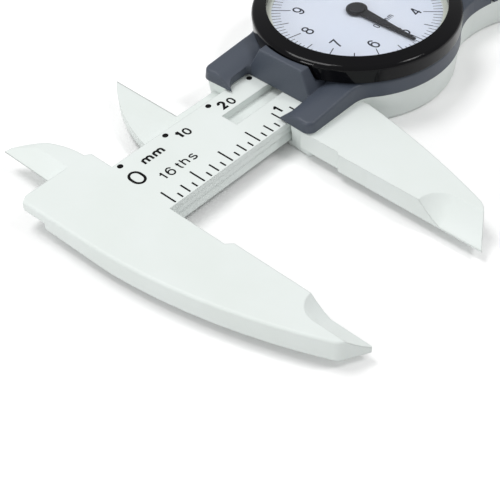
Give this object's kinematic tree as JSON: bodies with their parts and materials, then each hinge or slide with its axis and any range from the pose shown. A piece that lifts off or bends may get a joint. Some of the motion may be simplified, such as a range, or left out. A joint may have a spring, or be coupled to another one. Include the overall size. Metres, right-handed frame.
{
  "type": "dial caliper",
  "caption": "Plastic dial caliper with outside jaws, inside knife blades, a depth rod, a sliding jaw and a round dial whose pointer is driven by a rack in the beam.",
  "frame": {"origin": "on the back face of the beam, on the beam's centreline, in the plane of the fixed jaw's measuring face", "axes": "+X along the beam away from the fixed jaw, +Y towards the inside blades, +Z out of the dial"},
  "size_m": [0.2602, 0.0724, 0.0126],
  "materials": {
    "white_plastic": "satin moulded white",
    "grey_plastic": "satin moulded blue-grey",
    "black_plastic": "glossy black",
    "crystal": "clear acrylic",
    "cream_rubber": "cream silicone",
    "dial_face": "matt white print",
    "pointer_black": "matt black",
    "brass": "machined brass",
    "steel": "bright steel"
  },
  "bodies": {
    "beam": {"beam": "white_plastic", "rack": "white_plastic", "end_stop": "white_plastic", "end_stop_screws": "steel"},
    "slider": {"slider_base": "white_plastic", "slider_cover": "grey_plastic", "cover_screws": "steel", "gib_strip": "brass", "gib_spring": "steel", "depth_rod": "steel", "rod_pin": "steel", "movement_bridge": "brass", "bridge_screws": "steel", "lower_bushing": "brass", "upper_bushing": "brass", "bezel_spring": "steel"},
    "bezel": {"bezel": "black_plastic", "crystal": "crystal", "crystal_gasket": "cream_rubber", "dial_plate": "dial_face", "dial_retainer": "black_plastic"},
    "pointer": {"pinion": "brass", "pinion_arbor": "steel", "thrust_washer": "steel", "pointer": "pointer_black", "pointer_cap": "pointer_black"}
  },
  "joints": [
    {"name": "slider_slide", "type": "slide", "parent": "beam", "child": "slider", "axis": [1, 0, 0], "range_m": [-0.02514, 0.12486]},
    {"name": "bezel_turn", "type": "hinge", "parent": "slider", "child": "bezel", "pos_m": [0.05187, 0, 0.0087], "axis": [0, 0, 1], "continuous": true},
    {"name": "pointer_spin", "type": "hinge", "parent": "slider", "child": "pointer", "pos_m": [0.05187, 0, 0.005], "axis": [0, 0, 1], "range_deg": [-4500, 910]}
  ],
  "couplings": [
    {"joint": "pointer_spin", "follows": "slider_slide", "rad_per_m": -628.32}
  ]
}
